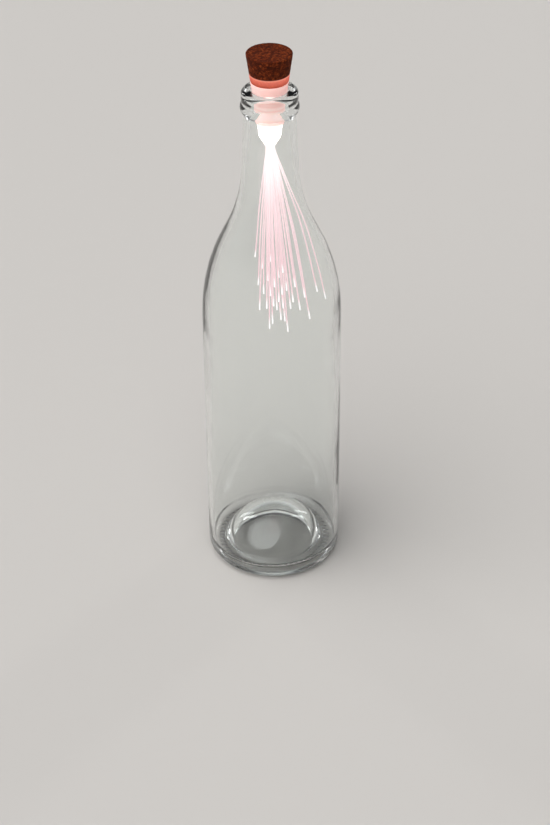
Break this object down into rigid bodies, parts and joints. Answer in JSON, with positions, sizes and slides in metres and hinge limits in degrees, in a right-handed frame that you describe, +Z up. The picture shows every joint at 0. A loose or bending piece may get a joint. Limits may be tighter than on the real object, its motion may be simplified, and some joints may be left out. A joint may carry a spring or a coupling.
{
  "type": "cork bottle light",
  "caption": "Clear glass wine bottle with a battery light in a cork-shaped stopper, which hangs a spray of glowing optical filaments inside the shoulder.",
  "frame": {"origin": "centre of the bottle's base, on the surface that it stands on", "axes": "+Z up along the bottle's axis, +X to the right in the picture, +Y away from the camera"},
  "size_m": [0.0754, 0.0754, 0.3122],
  "materials": {
    "bottle_glass": "clear moulded soda-lime glass, fire-polished lip",
    "cork": "fine agglomerated cork, brushed, warm brown",
    "plug_plastic": "translucent white moulded elastomer with shallow ribs",
    "tube_plastic": "white moulded ABS",
    "liner_plastic": "white moulded ABS, glued into the cork",
    "cell_steel": "nickel-plated pressed steel",
    "contact_nickel": "nickel-plated spring brass",
    "board_laminate": "green solder mask over glass laminate",
    "chip_moulding": "black moulded epoxy",
    "lamp_epoxy": "clear cast epoxy lens, glowing warm white",
    "lead_tin": "tinned wire",
    "holder_plastic": "white moulded reflector plastic",
    "cup_plastic": "clear moulded acrylic, glowing white from the lamp inside",
    "sleeve_plastic": "clear drawn acrylic tube",
    "filament_acrylic": "drawn acrylic fibre, glowing pinkish white, brighter at the cut tips"
  },
  "bodies": {
    "bottle": {"glass_bottle": "bottle_glass"},
    "light": {"plug_shell": "plug_plastic", "battery_tube": "tube_plastic", "button_cell_1": "cell_steel", "button_cell_2": "cell_steel", "button_cell_3": "cell_steel", "cell_contact": "contact_nickel", "contact_strip": "contact_nickel", "circuit_board": "board_laminate", "driver_chip": "chip_moulding", "resistor": "chip_moulding", "led_lamp": "lamp_epoxy", "led_anode": "lead_tin", "led_cathode": "lead_tin", "lamp_holder": "holder_plastic", "light_cup": "cup_plastic", "bundle_sleeve": "sleeve_plastic", "filament_01": "filament_acrylic", "filament_02": "filament_acrylic", "filament_03": "filament_acrylic", "filament_04": "filament_acrylic", "filament_05": "filament_acrylic", "filament_06": "filament_acrylic", "filament_07": "filament_acrylic", "filament_08": "filament_acrylic", "filament_09": "filament_acrylic", "filament_10": "filament_acrylic", "filament_11": "filament_acrylic", "filament_12": "filament_acrylic", "filament_13": "filament_acrylic", "filament_14": "filament_acrylic", "filament_15": "filament_acrylic", "filament_16": "filament_acrylic", "filament_17": "filament_acrylic", "filament_18": "filament_acrylic", "filament_19": "filament_acrylic", "filament_20": "filament_acrylic", "filament_21": "filament_acrylic", "filament_22": "filament_acrylic", "filament_23": "filament_acrylic", "filament_24": "filament_acrylic", "filament_25": "filament_acrylic", "filament_26": "filament_acrylic", "filament_27": "filament_acrylic", "filament_28": "filament_acrylic", "filament_29": "filament_acrylic", "filament_30": "filament_acrylic", "filament_31": "filament_acrylic"},
    "switch": {"switch_cap": "tube_plastic", "contact_plate": "contact_nickel"},
    "cork": {"cork_cap": "cork", "cork_liner": "liner_plastic"}
  },
  "joints": [
    {"name": "light_lift", "type": "slide", "parent": "bottle", "child": "light", "axis": [0, 0, 1], "range_m": [0, 0.165], "deforming": ["filament_01", "filament_03", "filament_05", "filament_11", "filament_14", "filament_18", "filament_21", "filament_22", "filament_23", "filament_24", "filament_25", "filament_26", "filament_27", "filament_28", "filament_29", "filament_30", "filament_31"]},
    {"name": "switch_turn", "type": "hinge", "parent": "light", "child": "switch", "pos_m": [0, 0, 0.3], "axis": [0, 0, 1], "range_deg": [0, 90]},
    {"name": "cork_pull", "type": "slide", "parent": "switch", "child": "cork", "axis": [0, 0, 1], "range_m": [0, 0.03]}
  ]
}
